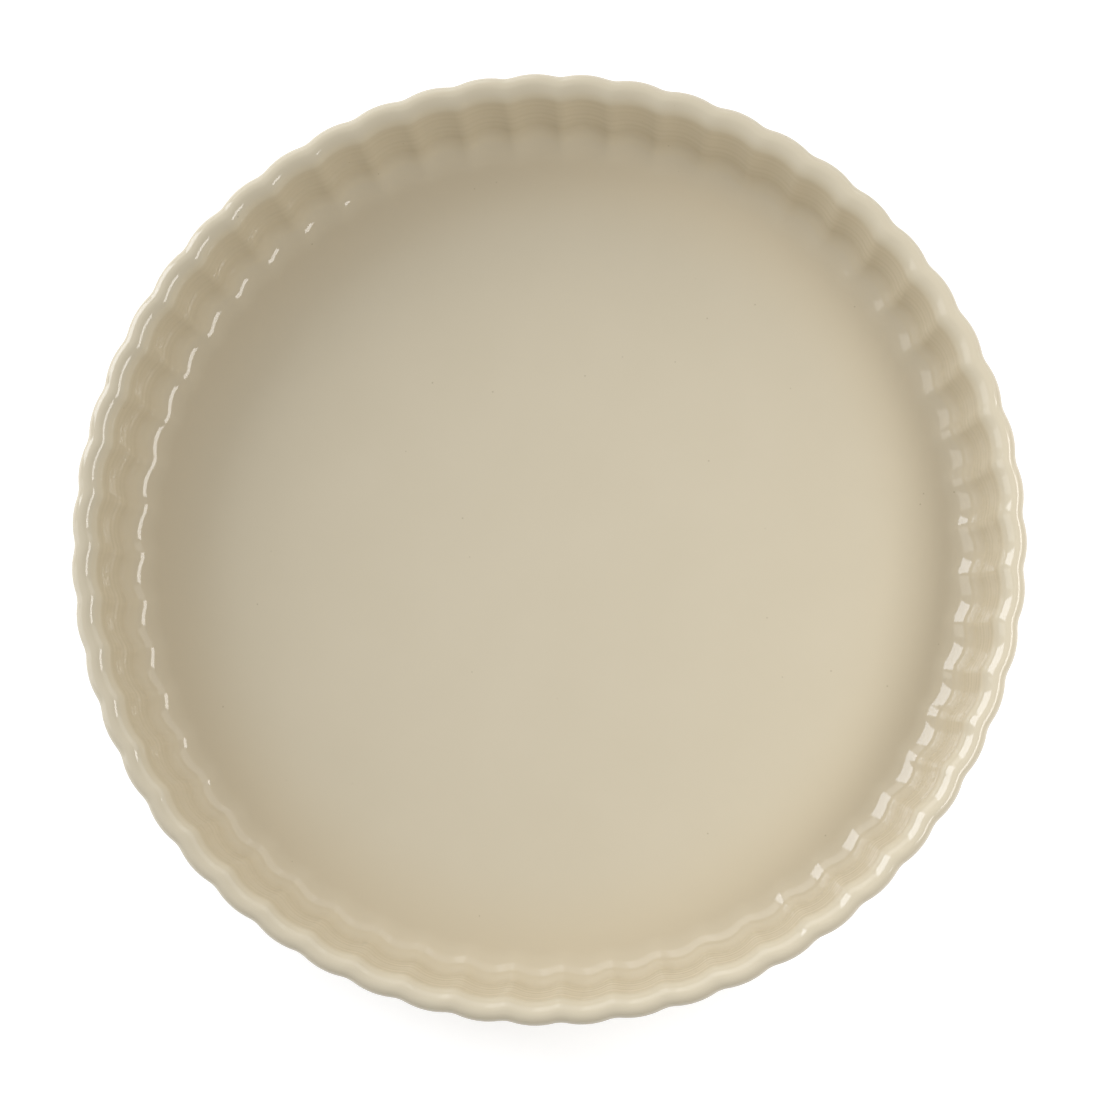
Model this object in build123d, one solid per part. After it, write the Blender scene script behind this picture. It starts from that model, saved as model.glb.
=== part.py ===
from build123d import *
import math
import os

# Fluted quiche dish in millimetres: origin at the middle of the foot ring's bearing plane, +Z up.
# It is one stoneware piece, glazed all over but for its foot ring, which stays bare.
# Each level of its wall is a closed wave: wide channels, parted by narrow ridges that stand in.

# Whole dish
rim_diameter = 300.0        # over the flute tops, at the widest line of the lip
dish_height = 45.0          # from the table to the top of the lip
flute_count = 55
ridge_width_share = 0.25    # of a flute's pitch, taken up by the ridge's flat

# Wall
wall_flare = 6.6            # the underside's edge lies this far inside the widest line of the lip
wall_thickness = 5.7        # measured level, at the floor
base_flute_depth = 1.5      # how far the ridges stand in from the flute tops, at the underside
rim_flute_depth = 0.95      # the same at the outside of the lip
lip_flute_depth = 1.1       # where the lip's inner round meets the wall
wall_flute_depth = 1.2      # at the foot of the inner wall
floor_flute_depth = 0.9     # where the ridges run out onto the floor

# Lip
lip_width = 8.0             # from its outside to where its inner round meets the wall
lip_outer_round = 2.8       # the inner round is wider and takes the rest of the lip's width
outer_round_steps = 2       # bands in the outer round, and so on for the others
inner_round_steps = 2

# Floor
floor_thickness = 5.0       # over the hollow of the foot ring, with the glaze on both sides
floor_round = 6.6           # radius of the round between wall and floor
floor_round_steps = 3

# Foot ring, bare clay
foot_inset = 8.0            # from the underside's edge to the outside of the ring
foot_width = 6.0            # at the root of the ring
foot_height = 2.0
foot_draft = 0.8            # each side of the ring leans in by this much on its way down

# Glaze
glaze_thickness = 0.45      # more where it fills out the clay's bevels into rounds
clay_outer_deepening = 0.3  # the clay's flutes are this much deeper than the glazed ones, outside
clay_inner_deepening = 0.1  # the same inside
clay_flat_share = 0.25      # of a flute's pitch, taken up by the flat of the clay under a channel
clay_rim_depth = 0.9        # the clay's flat rim lies this far under the top of the glazed lip

half_pitch = math.pi / flute_count
quarter_turn = math.pi / 2
rim_radius = rim_diameter / 2
base_radius = rim_radius - wall_flare
underside_height = foot_height - glaze_thickness
floor_height = underside_height + floor_thickness
foot_radius = base_radius - foot_inset
foot_inner_radius = foot_radius - foot_width

# The lip's two rounds meet at its crest, and the clay under the glaze shares their centres.
lip_inner_round = lip_width - lip_outer_round
crest_radius = rim_radius - lip_outer_round
outer_round_height = dish_height - lip_outer_round
inner_round_height = dish_height - lip_inner_round


def polar(radius, angle, height):
    """Give the point at this radius, angle and height."""
    return Vector(radius * math.cos(angle), radius * math.sin(angle), height)


def glaze_ring(radius, depth, height):
    """Give the glazed wave at one level: channel arcs that reach the radius, parted by ridge flats."""
    meet_radius = radius - depth
    meet_angle = (1 - ridge_width_share) * half_pitch
    edges = []
    for flute in range(flute_count):
        angle = 2 * half_pitch * flute
        start = polar(meet_radius, angle - meet_angle, height)
        top = polar(radius, angle, height)
        end = polar(meet_radius, angle + meet_angle, height)
        next_start = polar(meet_radius, angle + 2 * half_pitch - meet_angle, height)
        edges.append(Edge.make_three_point_arc(start, top, end))
        edges.append(Edge.make_line(end, next_start))
    return Wire(edges)


def clay_ring(radius, depth, height):
    """Give the clay's wave at one level: it is hidden, so flats stand for its channels and flanks."""
    points = []
    for flute in range(flute_count):
        angle = 2 * half_pitch * flute
        points.append(polar(radius - depth, angle - half_pitch, height))
        points.append(polar(radius, angle - clay_flat_share * half_pitch, height))
        points.append(polar(radius, angle + clay_flat_share * half_pitch, height))
    return Wire.make_polygon(points)


def wall_lean(foot_at, foot_level, round_at, round_level, round_radius):
    """Give the lean from upright of a wall from its foot up to touch a round of the lip.

    The round's radius is negative where the wall touches its inner side.
    """
    across = round_at - foot_at
    up = round_level - foot_level
    return math.atan2(across, up) + math.asin(round_radius / math.hypot(across, up))


def round_levels(centre, level, radius, start, end, steps, depth, end_depth):
    """Give the radius, flute depth and height of each step along a round of the profile."""
    levels = []
    for step in range(steps + 1):
        angle = start + (end - start) * step / steps
        across = centre + radius * math.cos(angle)
        up = level + radius * math.sin(angle)
        levels.append((across, depth + (end_depth - depth) * step / steps, up))
    return levels


def glaze_levels(outer_lean, corner_radius):
    """Give the levels of the glazed surface, from the underside, over the lip, to the floor."""
    inner_lean = wall_lean(
        corner_radius, floor_height, crest_radius, inner_round_height, -lip_inner_round
    )
    outer_round = round_levels(
        crest_radius, outer_round_height, lip_outer_round,
        -outer_lean, quarter_turn, outer_round_steps, rim_flute_depth, rim_flute_depth,
    )
    inner_round = round_levels(
        crest_radius, inner_round_height, lip_inner_round,
        quarter_turn, 2 * quarter_turn - inner_lean, inner_round_steps,
        rim_flute_depth, lip_flute_depth,
    )
    set_in = floor_round * math.tan((quarter_turn - inner_lean) / 2)
    corner_round = round_levels(
        corner_radius - set_in, floor_height + floor_round, floor_round,
        -inner_lean, -quarter_turn, floor_round_steps, wall_flute_depth, floor_flute_depth,
    )
    base = [(base_radius, base_flute_depth, underside_height)]
    return base + outer_round + inner_round[1:] + corner_round


def clay_levels(outer_lean, corner_radius):
    """Give the clay's levels outside and inside: plain bevels, which the glaze softens into rounds."""
    clay_base_radius = base_radius - glaze_thickness
    clay_corner_radius = corner_radius + glaze_thickness
    clay_floor_height = floor_height - glaze_thickness
    clay_outer_round = lip_outer_round - glaze_thickness
    clay_inner_round = lip_inner_round - glaze_thickness
    inner_lean = wall_lean(
        clay_corner_radius, clay_floor_height, crest_radius, inner_round_height, -clay_inner_round
    )
    clay_base_flutes = base_flute_depth + clay_outer_deepening
    clay_rim_flutes = rim_flute_depth + clay_outer_deepening
    clay_lip_flutes = lip_flute_depth + clay_inner_deepening
    clay_wall_flutes = wall_flute_depth + clay_inner_deepening
    rim_height = dish_height - clay_rim_depth
    outer_shoulder = math.asin((rim_height - outer_round_height) / clay_outer_round)
    inner_shoulder = math.asin((rim_height - inner_round_height) / clay_inner_round)
    outer_bevel = round_levels(
        crest_radius, outer_round_height, clay_outer_round,
        -outer_lean, outer_shoulder, 1, clay_rim_flutes, clay_rim_flutes,
    )
    inner_bevel = round_levels(
        crest_radius, inner_round_height, clay_inner_round,
        2 * quarter_turn - inner_shoulder, 2 * quarter_turn - inner_lean, 1,
        clay_lip_flutes, clay_lip_flutes,
    )
    # The corner's bevel touches the middle of the round that lies one glaze under the floor's round.
    turn = quarter_turn - inner_lean
    bevel = (floor_round + glaze_thickness) * (math.tan(turn / 2) - math.tan(turn / 4))
    bevel_top_radius = clay_corner_radius + bevel * math.sin(inner_lean)
    bevel_top_height = clay_floor_height + bevel * math.cos(inner_lean)
    corner_bevel = [
        (bevel_top_radius, clay_wall_flutes, bevel_top_height),
        (clay_corner_radius - bevel, clay_wall_flutes, clay_floor_height),
    ]
    base = [(clay_base_radius, clay_base_flutes, foot_height)]
    return base + outer_bevel, inner_bevel + corner_bevel


def bands(rings):
    """Give the faces of the bands from each ring to the next."""
    return Shell.make_loft(rings, ruled=True).faces()


def foot_circle(height):
    """Give the circle round the root of the foot ring, where the glaze was wiped off."""
    return Wire.make_circle(foot_radius, Plane.XY.offset(height))


def clay_skin(outer_rings, inner_rings):
    """Give the clay's faces from its lower edge, over its flat rim, to its floor."""
    rim = Face(outer_rings[-1], [inner_rings[0]])
    return [*bands(outer_rings), rim, *bands(inner_rings), Face(inner_rings[-1])]


def make_foot_ring():
    """Give the bare ring under the floor, drafted on both sides and ground flat below."""
    profile = Wire.make_polygon([
        Vector(foot_radius, 0, foot_height),
        Vector(foot_radius - foot_draft, 0, 0),
        Vector(foot_inner_radius + foot_draft, 0, 0),
        Vector(foot_inner_radius, 0, foot_height),
    ])
    return revolve(Face(profile), Axis.Z)


def make_clay_body(outer_rings, inner_rings):
    """Give the fired stoneware piece: floor, fluted wall, lip and foot ring."""
    dish = Solid(Shell([*clay_skin(outer_rings, inner_rings), Face(outer_rings[0])]))
    return dish + make_foot_ring()


def make_glaze_coat(rings, outer_rings, inner_rings):
    """Give the coat between the glazed surface and the clay, with its edge round the foot ring."""
    floor = Face(rings[-1])
    underside = Face(rings[0], [foot_circle(underside_height)])
    clay_underside = Face(outer_rings[0], [foot_circle(foot_height)])
    edge = bands([foot_circle(underside_height), foot_circle(foot_height)])
    outside = [*bands(rings), floor, underside]
    return Solid(Shell([*outside, *edge, clay_underside, *clay_skin(outer_rings, inner_rings)]))


def make_underside_glaze():
    """Give the patch of glaze that the bare foot ring parts from the coat."""
    patch = extrude(Circle(foot_inner_radius).face(), glaze_thickness)
    return Pos(0, 0, underside_height) * patch


wall_outer_lean = wall_lean(
    base_radius, underside_height, crest_radius, outer_round_height, lip_outer_round
)
wall_at_floor = base_radius + floor_thickness * math.tan(wall_outer_lean)
floor_corner_radius = wall_at_floor - wall_thickness

glaze_rings = [glaze_ring(*level) for level in glaze_levels(wall_outer_lean, floor_corner_radius)]
clay_outer_levels, clay_inner_levels = clay_levels(wall_outer_lean, floor_corner_radius)
clay_outer_rings = [clay_ring(*level) for level in clay_outer_levels]
clay_inner_rings = [clay_ring(*level) for level in clay_inner_levels]

parts = {
    "clay_body": make_clay_body(clay_outer_rings, clay_inner_rings),
    "glaze_coat": make_glaze_coat(glaze_rings, clay_outer_rings, clay_inner_rings),
    "underside_glaze": make_underside_glaze(),
}
os.makedirs("parts", exist_ok=True)
for name, part in parts.items():
    export_step(part, f"parts/{name}.step")
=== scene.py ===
import math

import bpy
from mathutils import Matrix, Vector


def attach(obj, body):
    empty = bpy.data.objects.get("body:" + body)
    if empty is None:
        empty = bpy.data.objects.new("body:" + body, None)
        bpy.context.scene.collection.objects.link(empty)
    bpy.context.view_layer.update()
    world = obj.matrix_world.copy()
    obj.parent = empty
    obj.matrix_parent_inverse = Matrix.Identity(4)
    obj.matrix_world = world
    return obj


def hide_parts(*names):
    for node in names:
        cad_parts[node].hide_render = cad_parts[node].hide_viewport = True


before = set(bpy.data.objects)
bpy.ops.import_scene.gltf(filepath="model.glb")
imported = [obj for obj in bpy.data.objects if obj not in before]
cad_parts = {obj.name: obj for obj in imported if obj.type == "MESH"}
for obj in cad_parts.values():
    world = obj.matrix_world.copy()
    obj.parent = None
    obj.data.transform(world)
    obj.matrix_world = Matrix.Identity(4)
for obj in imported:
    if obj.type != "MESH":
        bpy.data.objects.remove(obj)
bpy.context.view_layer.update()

# The dish and its materials are in millimetres, like the part's source, and MM turns them to metres.
MM = 0.001
QUARTER = math.pi / 2
RIM_RADIUS = 149.9          # a hair less than the part's 150, to stay inside the CAD model's box
DISH_HEIGHT = 45.0
FLUTES = 55
HALF_PITCH = math.pi / FLUTES

# Wall and floor
BASE_RADIUS = 143.4
BASE_ROUND = 0.8            # between the underside and the outside
UNDERSIDE = 1.55            # height of the glaze under the dish
WALL_THICKNESS = 5.7
FLOOR_HEIGHT = 6.55
CHANNEL_ROUND = 11.5        # the round between wall and floor, filled out by glaze that ran down
RIDGE_ROUND = 10.8          # the same where a ridge runs out onto the floor

# Lip: its crest turns quickly into a wider round that runs down into the inner wall
LIP_OUTER_ROUND = 2.8
LIP_CREST_ROUND = 2.9
LIP_CREST_TURN = math.radians(25)
LIP_INNER_ROUND = 6.2

# How far the ridges stand in from the flute tops, and the ridges' share of a flute's pitch
BASE_DEPTH = 1.5
RIM_DEPTH = 0.95            # at the outside of the lip
LIP_DEPTH = 1.2             # at the lip's crest, and where its inner round meets the wall
WALL_DEPTH = 1.8            # at the foot of the inner wall
RIDGE_SHARE = 0.26

# Soft lines that the smoothing tool left round the inner wall
RIPPLE_PITCH = 5.7
RIPPLE_SECOND_PITCH = 3.9
RIPPLE_HEIGHT = 0.06
RIPPLE_FADE = 4.0           # they fade out over this much below the lip and above the corner's round
WANDER_HEIGHT = 1.2         # how far they rise and fall on their way round
WANDERS = 7

# Foot ring, bare clay, and the glaze on both sides of it
FOOT_RADIUS = 135.4
FOOT_INNER_RADIUS = 129.4
FOOT_HEIGHT = 2.0
FOOT_DRAFT = 0.8
FOOT_EDGE_ROUND = 0.35
GLAZE_EDGE = 0.45           # thickness of the glaze, and the round of its edge
HIDDEN_DEPTH = 1.6          # how far a piece reaches into the one above it

# Columns of the mesh across a channel and a ridge, and rows along each part of a column
CHANNEL_COLUMNS = 10
RIDGE_COLUMNS = 8
EDGE_ROWS = 5               # round an edge of the glaze or of the foot ring
BASE_ROWS = 6
OUTSIDE_ROWS = 12
LIP_OUTER_ROWS = 14
LIP_CREST_ROWS = 5
LIP_INNER_ROWS = 12
INSIDE_ROWS = 60
CORNER_ROWS = 16
FLOOR_RINGS = (124.0, 117.0, 106.0, 88.0, 64.0, 34.0, 8.0)     # radii of the rows on the floor

# Glaze: its colours, thin, thick, and where it ran with painted shade laid on top, and how rough, clouded
# and wavy it is
GLAZE_THIN = "#D3C8B0"
GLAZE_THICK = "#CFC4AB"
# Richer cream, partly glaze that ran and pooled, partly painted shade: the warmer, darker tone that light
# bounced between walls and floor gives there
GLAZE_RUN_AND_SHADE = "#D0C3A8"
GLAZE_IOR = 1.55
GLAZE_SMOOTHEST = 0.04
GLAZE_ROUGHEST = 0.09
CLOUD_SIZE = 25.0
WAVE_LENGTH = 9.0
WAVE_HEIGHT = 0.04

# Where it ran, which is also where painted shade of bounced light darkens the outer floor and walls: from
# this radius to this one it gets richer, and between these heights plain again
RUN_AND_SHADE_START_RADIUS = 100.0
RUN_AND_SHADE_FULL_RADIUS = 130.0
RUN_AND_SHADE_FULL_HEIGHT = 36.0
RUN_AND_SHADE_END_HEIGHT = 44.0

# Iron specks in the glaze: a speck is full up to its core's radius and gone at its edge's
SPECK_COLOUR = "#8A7858"
SPECK_STRENGTH = 0.35
SPECK_SPACING = 9.0
SPECK_CORE = 0.18
SPECK_EDGE = 0.36

# Bare stoneware: its darker and paler grains, and its paler, smoother face where it was ground
CLAY_DARK = "#A8916E"
CLAY_PALE = "#C9B592"
CLAY_IOR = 1.5
CLAY_ROUGHNESS = 0.9
GRAIN_SIZE = 0.9
GRAIN_HEIGHT = 0.2
GRAIN_STRENGTH = 0.4
GROUND_COLOUR = "#D2C2A2"
GROUND_ROUGHNESS = 0.65
GROUND_STRENGTH = 0.6
GROUND_FULL_HEIGHT = 0.05
GROUND_END_HEIGHT = 0.3

# Studio, in metres from here on
WHITE = "#FFFFFF"
PAPER_COLOUR = "#E6E6E6"
PAPER_GLOW = 0.5            # what the floor needs on top of the lamps to show as white
PAPER_SIZE = 40.0           # its edge shows only in views from about 10 degrees up or lower
PAPER_DROP = 0.0002         # a hair below the foot ring
WORLD_STRENGTH = 0.5
LAMP_AIM = (0.0, 0.0, 0.03)

# Each lamp's azimuth and elevation in degrees, distance, width and height, watts and colour
LAMPS = {
    "key_softbox": (150, 24, 2.2, 0.9, 1.85, 24, "#F0F5FF"),
    "sweep_left": (185, 24, 2.2, 0.8, 1.85, 5.5, WHITE),
    "sweep_near_key": (115, 22, 2.2, 1.6, 1.25, 7, WHITE),
    "sweep_back": (80, 22, 2.2, 1.6, 1.18, 3.0, WHITE),
    "sweep_right": (41, 22, 2.2, 1.6, 1.18, 4.5, WHITE),
    "right_strip": (-8, 42, 0.45, 0.34, 0.12, 0.7, WHITE),
}

# Camera: almost overhead, leaning a little towards the lower right of the picture
CAMERA_AIM = (0.0012, -0.0023, 0.045)
CAMERA_LEAN = 5.7           # in degrees, and so is the bearing
CAMERA_BEARING = 294.0
CAMERA_DISTANCE = 1.0
CAMERA_SENSOR = 36.0        # in millimetres, and so is the lens
CAMERA_LENS = 104.7


def wave(across):
    """Give the share of the flute depth at this place of the half pitch, 0 at the flute top."""
    if across < 1 - RIDGE_SHARE:
        return across ** 2 / (1 - RIDGE_SHARE)
    return 1 - (1 - across) ** 2 / RIDGE_SHARE


def column_places():
    """Give where a flute's columns stand, in half pitches from its top, closest round its ridge."""
    edge = 1 - RIDGE_SHARE
    channel = [edge * (2 * i / CHANNEL_COLUMNS - 1) for i in range(CHANNEL_COLUMNS)]
    ridge = [edge + 2 * RIDGE_SHARE * i / RIDGE_COLUMNS for i in range(RIDGE_COLUMNS)]
    return channel + ridge


def round_rows(centre, level, radius, start, end, steps):
    """Give the radius and height of each step along a round of the profile."""
    turns = [start + (end - start) * i / steps for i in range(steps + 1)]
    return [(centre + radius * math.cos(turn), level + radius * math.sin(turn)) for turn in turns]


def straight_rows(start, end, steps):
    """Give the inner points of a straight run of the profile."""
    shares = [i / steps for i in range(1, steps)]
    return [(start[0] + (end[0] - start[0]) * s, start[1] + (end[1] - start[1]) * s) for s in shares]


def tooled(radius, height, angle, foot, top):
    """Give the wall's radius with the soft lines that the smoothing tool left in it."""
    fade = min((top - height) / RIPPLE_FADE, (height - foot) / RIPPLE_FADE, 1)
    level = height + WANDER_HEIGHT * math.sin(WANDERS * angle) / 2
    crest = math.cos(2 * math.pi * level / RIPPLE_PITCH)
    second_crest = math.cos(2 * math.pi * level / RIPPLE_SECOND_PITCH)
    return radius - RIPPLE_HEIGHT * fade * (2 + crest + second_crest) / 4


def wall_lean(foot_at, foot_level, round_at, round_level, round_radius):
    """Give the lean from upright of a wall from its foot up to touch a round of the lip.

    The round's radius is negative where the wall touches its inner side.
    """
    across = round_at - foot_at
    up = round_level - foot_level
    return math.atan2(across, up) + math.asin(round_radius / math.hypot(across, up))


# The inner wall meets the floor at this radius, one wall thickness inside the outer wall.
OUTSIDE_LEAN = wall_lean(
    BASE_RADIUS, UNDERSIDE, RIM_RADIUS - LIP_OUTER_ROUND, DISH_HEIGHT - LIP_OUTER_ROUND, LIP_OUTER_ROUND
)
FLOOR_CORNER = BASE_RADIUS + (FLOOR_HEIGHT - UNDERSIDE) * math.tan(OUTSIDE_LEAN) - WALL_THICKNESS


def glazed_profile(across, angle):
    """Give the glazed surface's rows at one place of a flute's half pitch.

    They run from the foot ring over the underside, outside, lip and inside to the middle.
    """
    share = wave(across)
    base = BASE_RADIUS - BASE_DEPTH * share
    outer_at = RIM_RADIUS - LIP_OUTER_ROUND - RIM_DEPTH * share
    outer_level = DISH_HEIGHT - LIP_OUTER_ROUND
    outer_lean = wall_lean(base, UNDERSIDE, outer_at, outer_level, LIP_OUTER_ROUND)
    base_in = BASE_ROUND * math.tan((QUARTER + outer_lean) / 2)

    # The wider round's centre lies so that the crest runs into it without a kink.
    crest_at = RIM_RADIUS - LIP_OUTER_ROUND - LIP_DEPTH * share
    crest_level = DISH_HEIGHT - LIP_CREST_ROUND
    crest_end = QUARTER + LIP_CREST_TURN
    centres_apart = LIP_INNER_ROUND - LIP_CREST_ROUND
    inner_at = crest_at + centres_apart * math.sin(LIP_CREST_TURN)
    inner_level = crest_level - centres_apart * math.cos(LIP_CREST_TURN)

    corner_at = FLOOR_CORNER - WALL_DEPTH * share
    inner_lean = wall_lean(corner_at, FLOOR_HEIGHT, inner_at, inner_level, -LIP_INNER_ROUND)
    inner_end = 2 * QUARTER - inner_lean
    foot_round = CHANNEL_ROUND + (RIDGE_ROUND - CHANNEL_ROUND) * share
    corner_in = foot_round * math.tan((QUARTER - inner_lean) / 2)

    hidden = (FOOT_RADIUS - GLAZE_EDGE, FOOT_HEIGHT + HIDDEN_DEPTH)
    glaze_edge = round_rows(
        FOOT_RADIUS + GLAZE_EDGE, FOOT_HEIGHT, GLAZE_EDGE, 2 * QUARTER, 3 * QUARTER, EDGE_ROWS
    )
    base_round = round_rows(
        base - base_in, UNDERSIDE + BASE_ROUND, BASE_ROUND, -QUARTER, -outer_lean, BASE_ROWS
    )
    outer_round = round_rows(
        outer_at, outer_level, LIP_OUTER_ROUND, -outer_lean, QUARTER, LIP_OUTER_ROWS
    )
    crest_round = round_rows(
        crest_at, crest_level, LIP_CREST_ROUND, QUARTER, crest_end, LIP_CREST_ROWS
    )
    inner_round = round_rows(
        inner_at, inner_level, LIP_INNER_ROUND, crest_end, inner_end, LIP_INNER_ROWS
    )
    corner = round_rows(
        corner_at - corner_in, FLOOR_HEIGHT + foot_round, foot_round, -inner_lean, -QUARTER, CORNER_ROWS
    )
    outside = straight_rows(base_round[-1], outer_round[0], OUTSIDE_ROWS)
    inside = straight_rows(inner_round[-1], corner[0], INSIDE_ROWS)
    top = inner_round[-1][1]
    foot = corner[0][1]
    inside = [(tooled(radius, height, angle, foot, top), height) for radius, height in inside]
    lip = [*outer_round, *crest_round[1:], *inner_round[1:]]
    floor = [(radius, FLOOR_HEIGHT) for radius in FLOOR_RINGS]
    return [hidden, *glaze_edge, *base_round, *outside, *lip, *inside, *corner, *floor]


def clay_profile(across, angle):
    """Give the rows of the clay's underside with the bare foot ring, the same all the way round."""
    edge = FOOT_EDGE_ROUND
    outer_foot = FOOT_RADIUS - FOOT_DRAFT - edge
    inner_foot = FOOT_INNER_RADIUS + FOOT_DRAFT + edge
    inner = [(FLOOR_RINGS[-1], FOOT_HEIGHT), (FOOT_INNER_RADIUS, FOOT_HEIGHT)]
    inner_edge = round_rows(inner_foot, edge, edge, 2 * QUARTER, 3 * QUARTER, EDGE_ROWS)
    outer_edge = round_rows(outer_foot, edge, edge, -QUARTER, 0, EDGE_ROWS)
    outer = [(FOOT_RADIUS, FOOT_HEIGHT), (FOOT_RADIUS, FOOT_HEIGHT + HIDDEN_DEPTH)]
    return [*inner, *inner_edge, *outer_edge, *outer]


def patch_profile(across, angle):
    """Give the rows of the round patch of glaze inside the foot ring, the same all the way round."""
    edge_at = FOOT_INNER_RADIUS - GLAZE_EDGE
    rings = [(radius, UNDERSIDE) for radius in reversed(FLOOR_RINGS)]
    edge = round_rows(edge_at, FOOT_HEIGHT, GLAZE_EDGE, -QUARTER, 0, EDGE_ROWS)
    return [*rings, *edge, (edge_at, FOOT_HEIGHT + HIDDEN_DEPTH / 2)]


def add_piece(name, profile, material, node):
    """Add a closed piece whose columns follow a profile round the dish, in place of its CAD node."""
    turns = [(flute, place) for flute in range(FLUTES) for place in column_places()]
    points = []
    for flute, place in turns:
        angle = (2 * flute + place) * HALF_PITCH
        cosine = math.cos(angle) * MM
        sine = math.sin(angle) * MM
        across = abs(place) if place <= 1 else 2 - place
        column = profile(across, angle)
        points += [(radius * cosine, radius * sine, height * MM) for radius, height in column]
    rows = len(column)
    starts = [(i * rows, (i + 1) % len(turns) * rows) for i in range(len(turns))]
    faces = [
        (here + row, there + row, there + row + 1, here + row + 1)
        for here, there in starts for row in range(rows - 1)
    ]
    # Triangles round a point on the axis close each end.
    for row, order in ((0, -1), (rows - 1, 1)):
        faces += [(*(here + row, there + row)[::order], len(points)) for here, there in starts]
        points.append((0.0, 0.0, points[row][2]))
    mesh = bpy.data.meshes.new(name)
    mesh.from_pydata(points, [], faces)
    mesh.polygons.foreach_set("use_smooth", [True] * len(mesh.polygons))
    mesh.update()
    mesh.materials.append(material)
    piece = bpy.data.objects.new(name, mesh)
    bpy.context.collection.objects.link(piece)
    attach(piece, "root")
    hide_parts(node)


def linear(code):
    """Turn an sRGB hex value such as #D8CDB6 to the linear colour that the shaders use."""
    channels = [int(code[i:i + 2], 16) / 255 for i in (1, 3, 5)]
    shades = [c / 12.92 if c <= 0.04045 else ((c + 0.055) / 1.055) ** 2.4 for c in channels]
    return (*shades, 1.0)


def add_node(tree, kind, settings, links=None):
    """Add a node, set its options and sockets in turn, and link outputs into its sockets."""
    node = tree.nodes.new(kind)
    for name, value in settings.items():
        if isinstance(name, str) and hasattr(node, name):
            setattr(node, name, value)
        else:
            node.inputs[name].default_value = value
    for name, output in (links or {}).items():
        tree.links.new(output, node.inputs[name])
    return node


def new_material(name):
    """Give a new material and its node tree, emptied of nodes."""
    material = bpy.data.materials.new(name)
    material.use_nodes = True
    material.node_tree.nodes.clear()
    return material, material.node_tree


def cream_glaze():
    """Cream stoneware glaze, dipped and fired: glassy and faintly wavy, richer in colour where it ran,
    and that richer colour also paints the warmer shade of light bounced between the walls and the floor.
    """
    material, tree = new_material("cream_glaze_fired")
    place = add_node(tree, "ShaderNodeTexCoord", {}).outputs["Object"]
    axes = add_node(tree, "ShaderNodeSeparateXYZ", {}, {"Vector": place}).outputs
    plan = add_node(tree, "ShaderNodeCombineXYZ", {}, {"X": axes["X"], "Y": axes["Y"]})
    radius = add_node(
        tree, "ShaderNodeVectorMath", {"operation": "LENGTH"}, {"Vector": plan.outputs["Vector"]}
    )
    # Clouds, where the coat is thicker or thinner.
    cloud = add_node(
        tree, "ShaderNodeTexNoise", {"Scale": 1 / (CLOUD_SIZE * MM), "Detail": 3.0}, {"Vector": place}
    )
    thick = add_node(
        tree, "ShaderNodeMix",
        {"data_type": "RGBA", "A": linear(GLAZE_THIN), "B": linear(GLAZE_THICK)},
        {"Factor": cloud.outputs["Fac"]},
    )
    # It ran down the walls and pooled round the floor's edge, so they are a shade richer than the rest;
    # this richer colour also stands in for painted shade, the warmer tone that light bounced between
    # walls and floor gives there.
    outwards = add_node(
        tree, "ShaderNodeMapRange",
        {
            "From Min": RUN_AND_SHADE_START_RADIUS * MM, "From Max": RUN_AND_SHADE_FULL_RADIUS * MM,
            "interpolation_type": "SMOOTHSTEP",
        },
        {"Value": radius.outputs["Value"]},
    )
    below_lip = add_node(
        tree, "ShaderNodeMapRange",
        {
            "From Min": RUN_AND_SHADE_FULL_HEIGHT * MM, "From Max": RUN_AND_SHADE_END_HEIGHT * MM,
            "To Min": 1.0, "To Max": 0.0, "interpolation_type": "SMOOTHSTEP",
        },
        {"Value": axes["Z"]},
    )
    ran_and_shaded = add_node(
        tree, "ShaderNodeMath", {"operation": "MULTIPLY"},
        {0: outwards.outputs["Result"], 1: below_lip.outputs["Result"]},
    )
    run_and_shade = add_node(
        tree, "ShaderNodeMix", {"data_type": "RGBA", "B": linear(GLAZE_RUN_AND_SHADE)},
        {"Factor": ran_and_shaded.outputs[0], "A": thick.outputs["Result"]},
    )
    # Specks about half a millimetre across show where their centres reach the surface.
    specks = add_node(
        tree, "ShaderNodeTexVoronoi", {"Scale": 1 / (SPECK_SPACING * MM)}, {"Vector": place}
    )
    spot = add_node(
        tree, "ShaderNodeMapRange",
        {
            "From Min": SPECK_CORE / SPECK_SPACING, "From Max": SPECK_EDGE / SPECK_SPACING,
            "To Min": SPECK_STRENGTH, "To Max": 0.0,
        },
        {"Value": specks.outputs["Distance"]},
    )
    colour = add_node(
        tree, "ShaderNodeMix", {"data_type": "RGBA", "B": linear(SPECK_COLOUR)},
        {"Factor": spot.outputs["Result"], "A": run_and_shade.outputs["Result"]},
    )
    # Long, low waves stayed in the surface as the glaze levelled.
    waves = add_node(
        tree, "ShaderNodeTexNoise", {"Scale": 1 / (WAVE_LENGTH * MM), "Detail": 2.0}, {"Vector": place}
    )
    bump = add_node(
        tree, "ShaderNodeBump", {"Strength": 1.0, "Distance": WAVE_HEIGHT * MM},
        {"Height": waves.outputs["Fac"]},
    )
    gloss = add_node(
        tree, "ShaderNodeMapRange", {"To Min": GLAZE_SMOOTHEST, "To Max": GLAZE_ROUGHEST},
        {"Value": cloud.outputs["Fac"]},
    )
    shader = add_node(
        tree, "ShaderNodeBsdfPrincipled", {"IOR": GLAZE_IOR},
        {
            "Base Color": colour.outputs["Result"], "Roughness": gloss.outputs["Result"],
            "Normal": bump.outputs["Normal"],
        },
    )
    add_node(tree, "ShaderNodeOutputMaterial", {}, {"Surface": shader.outputs["BSDF"]})
    return material


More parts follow.
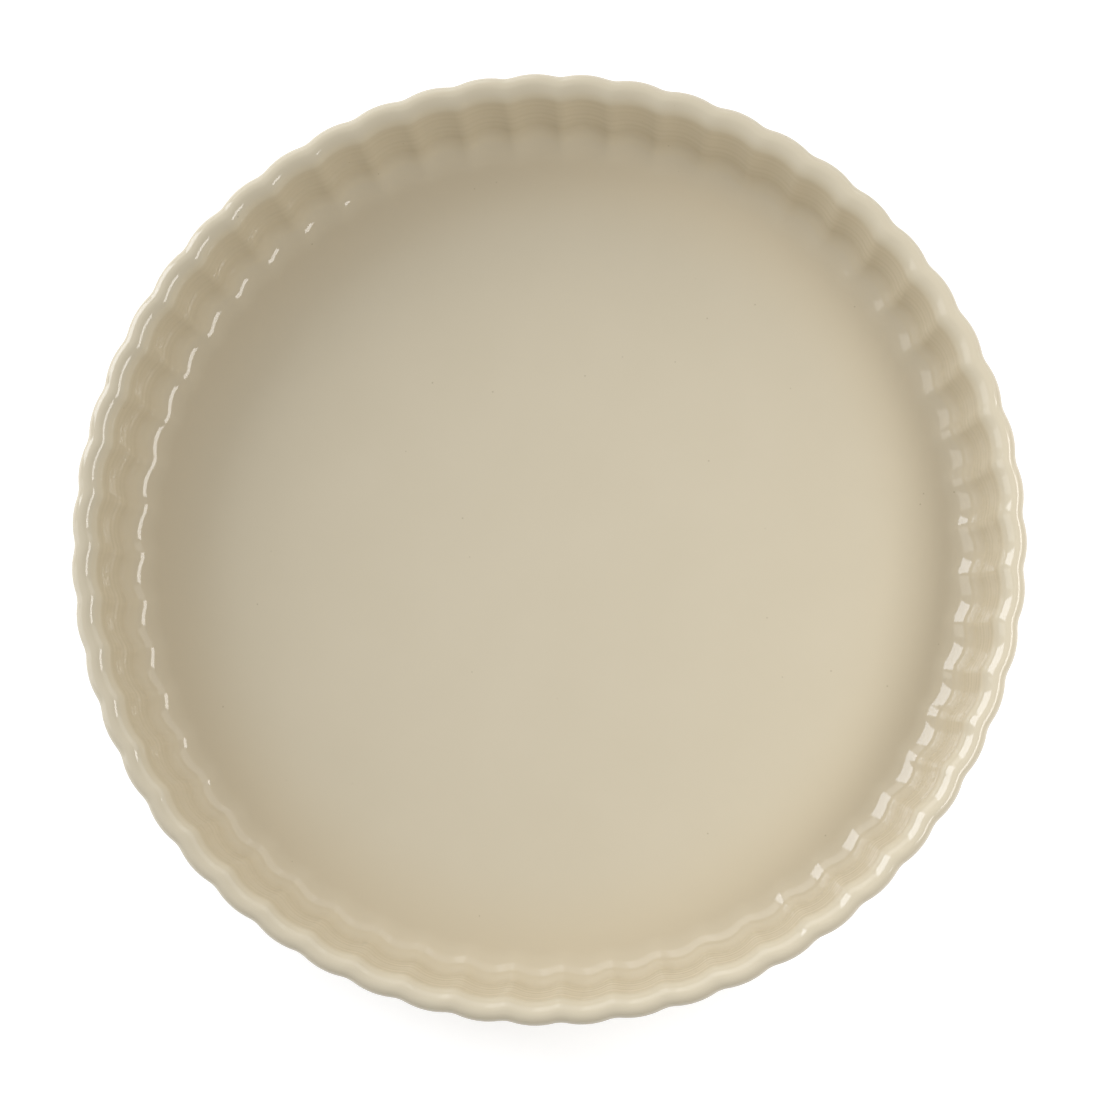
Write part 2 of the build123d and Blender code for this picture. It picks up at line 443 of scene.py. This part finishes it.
def bare_stoneware():
    """Bare stoneware clay, fired and ground: matt, buff and sandy, paler and smoother where it stands."""
    material, tree = new_material("bare_stoneware_ground")
    place = add_node(tree, "ShaderNodeTexCoord", {}).outputs["Object"]
    level = add_node(tree, "ShaderNodeSeparateXYZ", {}, {"Vector": place}).outputs["Z"]
    # Sand grains are about 0.3 mm across, and are drawn three times as coarse so that they show.
    grain = add_node(
        tree, "ShaderNodeTexNoise", {"Scale": 1 / (GRAIN_SIZE * MM), "Detail": 4.0}, {"Vector": place}
    )
    fired = add_node(
        tree, "ShaderNodeMix",
        {"data_type": "RGBA", "A": linear(CLAY_DARK), "B": linear(CLAY_PALE)},
        {"Factor": grain.outputs["Fac"]},
    )
    ground = add_node(
        tree, "ShaderNodeMapRange",
        {
            "From Min": GROUND_FULL_HEIGHT * MM, "From Max": GROUND_END_HEIGHT * MM,
            "To Min": GROUND_STRENGTH, "To Max": 0.0,
        },
        {"Value": level},
    )
    colour = add_node(
        tree, "ShaderNodeMix", {"data_type": "RGBA", "B": linear(GROUND_COLOUR)},
        {"Factor": ground.outputs["Result"], "A": fired.outputs["Result"]},
    )
    rough = add_node(
        tree, "ShaderNodeMapRange",
        {"From Max": GROUND_STRENGTH, "To Min": CLAY_ROUGHNESS, "To Max": GROUND_ROUGHNESS},
        {"Value": ground.outputs["Result"]},
    )
    bump = add_node(
        tree, "ShaderNodeBump", {"Strength": GRAIN_STRENGTH, "Distance": GRAIN_HEIGHT * MM},
        {"Height": grain.outputs["Fac"]},
    )
    shader = add_node(
        tree, "ShaderNodeBsdfPrincipled", {"IOR": CLAY_IOR},
        {
            "Base Color": colour.outputs["Result"], "Roughness": rough.outputs["Result"],
            "Normal": bump.outputs["Normal"],
        },
    )
    add_node(tree, "ShaderNodeOutputMaterial", {}, {"Surface": shader.outputs["BSDF"]})
    return material


def white_sweep():
    """White studio floor: shows as white to the camera and keeps a soft trace of the dish's shadow."""
    material, tree = new_material("white_paper_sweep")
    rays = add_node(tree, "ShaderNodeLightPath", {}).outputs
    mirrored = add_node(
        tree, "ShaderNodeMath", {"operation": "MAXIMUM"},
        {0: rays["Is Glossy Ray"], 1: rays["Is Transmission Ray"]},
    )
    seen = add_node(
        tree, "ShaderNodeMath", {"operation": "MAXIMUM"},
        {0: rays["Is Camera Ray"], 1: mirrored.outputs[0]},
    )
    strength = add_node(
        tree, "ShaderNodeMath", {"operation": "MULTIPLY", 1: PAPER_GLOW}, {0: seen.outputs[0]}
    )
    paper = add_node(tree, "ShaderNodeBsdfDiffuse", {"Color": linear(PAPER_COLOUR)})
    glow = add_node(
        tree, "ShaderNodeEmission", {"Color": linear(WHITE)}, {"Strength": strength.outputs[0]}
    )
    both = add_node(tree, "ShaderNodeAddShader", {}, {0: paper.outputs[0], 1: glow.outputs[0]})
    add_node(tree, "ShaderNodeOutputMaterial", {}, {"Surface": both.outputs[0]})
    return material


def bearing(azimuth, elevation):
    """Give the direction with this azimuth and elevation in degrees, of length 1."""
    across = math.radians(azimuth)
    up = math.radians(elevation)
    return Vector((math.cos(across) * math.cos(up), math.sin(across) * math.cos(up), math.sin(up)))


def add_lamp(name, azimuth, elevation, distance, width, height, power, colour):
    """Add a rectangular studio lamp at this bearing from the dish, facing it."""
    light = bpy.data.lights.new(name, "AREA")
    light.shape = "RECTANGLE"
    light.size = width
    light.size_y = height
    light.energy = power
    light.color = linear(colour)[:3]
    away = bearing(azimuth, elevation)
    lamp = bpy.data.objects.new(name, light)
    lamp.location = Vector(LAMP_AIM) + away * distance
    lamp.rotation_euler = away.to_track_quat("Z", "Y").to_euler()
    bpy.context.collection.objects.link(lamp)


glaze = cream_glaze()
clay = bare_stoneware()
add_piece("glaze_coat_surface", glazed_profile, glaze, "glaze_coat")
add_piece("clay_foot_ring", clay_profile, clay, "clay_body")
add_piece("underside_glaze_patch", patch_profile, glaze, "underside_glaze")

# Studio floor
bpy.ops.mesh.primitive_plane_add(size=PAPER_SIZE)
sweep = bpy.context.object
sweep.name = "studio_floor"
sweep.location.z = -PAPER_DROP
sweep.data.materials.append(white_sweep())

# Light
for lamp_name, lamp_settings in LAMPS.items():
    add_lamp(lamp_name, *lamp_settings)
world = bpy.data.worlds.new("studio")
bpy.context.scene.world = world
world.use_nodes = True
background = world.node_tree.nodes["Background"].inputs
background["Color"].default_value = linear(WHITE)
background["Strength"].default_value = WORLD_STRENGTH

# Camera: it is turned so that the dish's +Y points straight up in the picture.
camera = bpy.data.objects.new("camera", bpy.data.cameras.new("camera"))
bpy.context.collection.objects.link(camera)
camera.data.sensor_width = CAMERA_SENSOR
camera.data.lens = CAMERA_LENS
away = bearing(CAMERA_BEARING, 90 - CAMERA_LEAN)
right = Vector((0, 1, 0)).cross(away).normalized()
camera.location = Vector(CAMERA_AIM) + away * CAMERA_DISTANCE
camera.rotation_euler = Matrix((right, away.cross(right), away)).transposed().to_euler()
bpy.context.scene.camera = camera
bpy.context.scene.view_settings.view_transform = "Standard"
